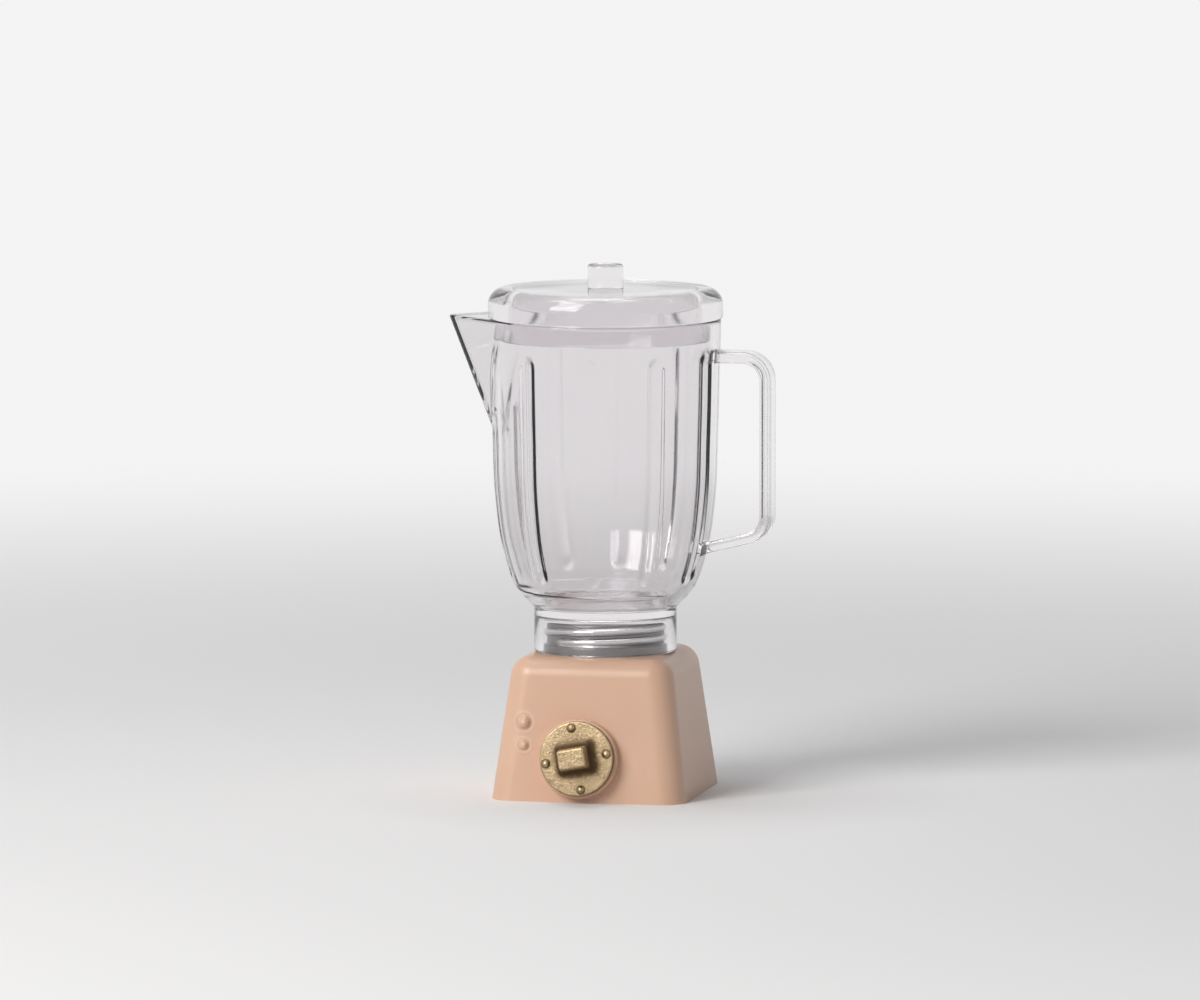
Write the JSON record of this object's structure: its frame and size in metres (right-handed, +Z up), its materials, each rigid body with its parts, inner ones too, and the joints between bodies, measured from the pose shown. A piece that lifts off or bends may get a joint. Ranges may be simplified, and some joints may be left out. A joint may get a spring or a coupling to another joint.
{
  "type": "toy blender",
  "caption": "Dolls'-house toy blender: coral base with an antique gold dial, clear fluted jug with spout and handle, clear lid.",
  "frame": {"origin": "middle of the underside of the base, on the surface that it stands on", "axes": "+Z up; -Y to the front with the dial; -X towards the spout; +X towards the handle"},
  "size_m": [0.0457, 0.0352, 0.0733],
  "materials": {
    "coral_paint": "satin coral pink paint",
    "coral_plastic": "matt moulded plastic",
    "antique_gold": "grainy antique gold with dark recesses",
    "silver_thread": "bright turned metal",
    "steel": "plain",
    "clear_plastic": "clear moulded plastic"
  },
  "bodies": {
    "base": {"base_housing": "coral_paint", "base_plate": "coral_plastic", "base_screw_front_left": "steel", "base_screw_front_right": "steel", "base_screw_back_left": "steel", "base_screw_back_right": "steel", "jug_socket": "silver_thread", "socket_screw": "steel"},
    "dial": {"dial_plate": "antique_gold", "dial_knob": "antique_gold", "dial_rivet_1": "antique_gold", "dial_rivet_2": "antique_gold", "dial_rivet_3": "antique_gold", "dial_rivet_4": "antique_gold", "dial_spring_washer": "steel", "dial_clip": "steel"},
    "jug": {"jug": "clear_plastic", "jug_handle": "clear_plastic"},
    "lid": {"lid": "clear_plastic", "lid_knob": "clear_plastic"}
  },
  "joints": [
    {"name": "dial_turn", "type": "hinge", "parent": "base", "child": "dial", "pos_m": [-0.0009, -0.01293, 0.006], "axis": [0, -0.9919, 0.1271], "continuous": true},
    {"name": "jug_lift", "type": "slide", "parent": "base", "child": "jug", "axis": [0, 0, 1], "range_m": [0, 0.03]},
    {"name": "lid_lift", "type": "slide", "parent": "jug", "child": "lid", "axis": [0, 0, 1], "range_m": [0, 0.02]}
  ]
}
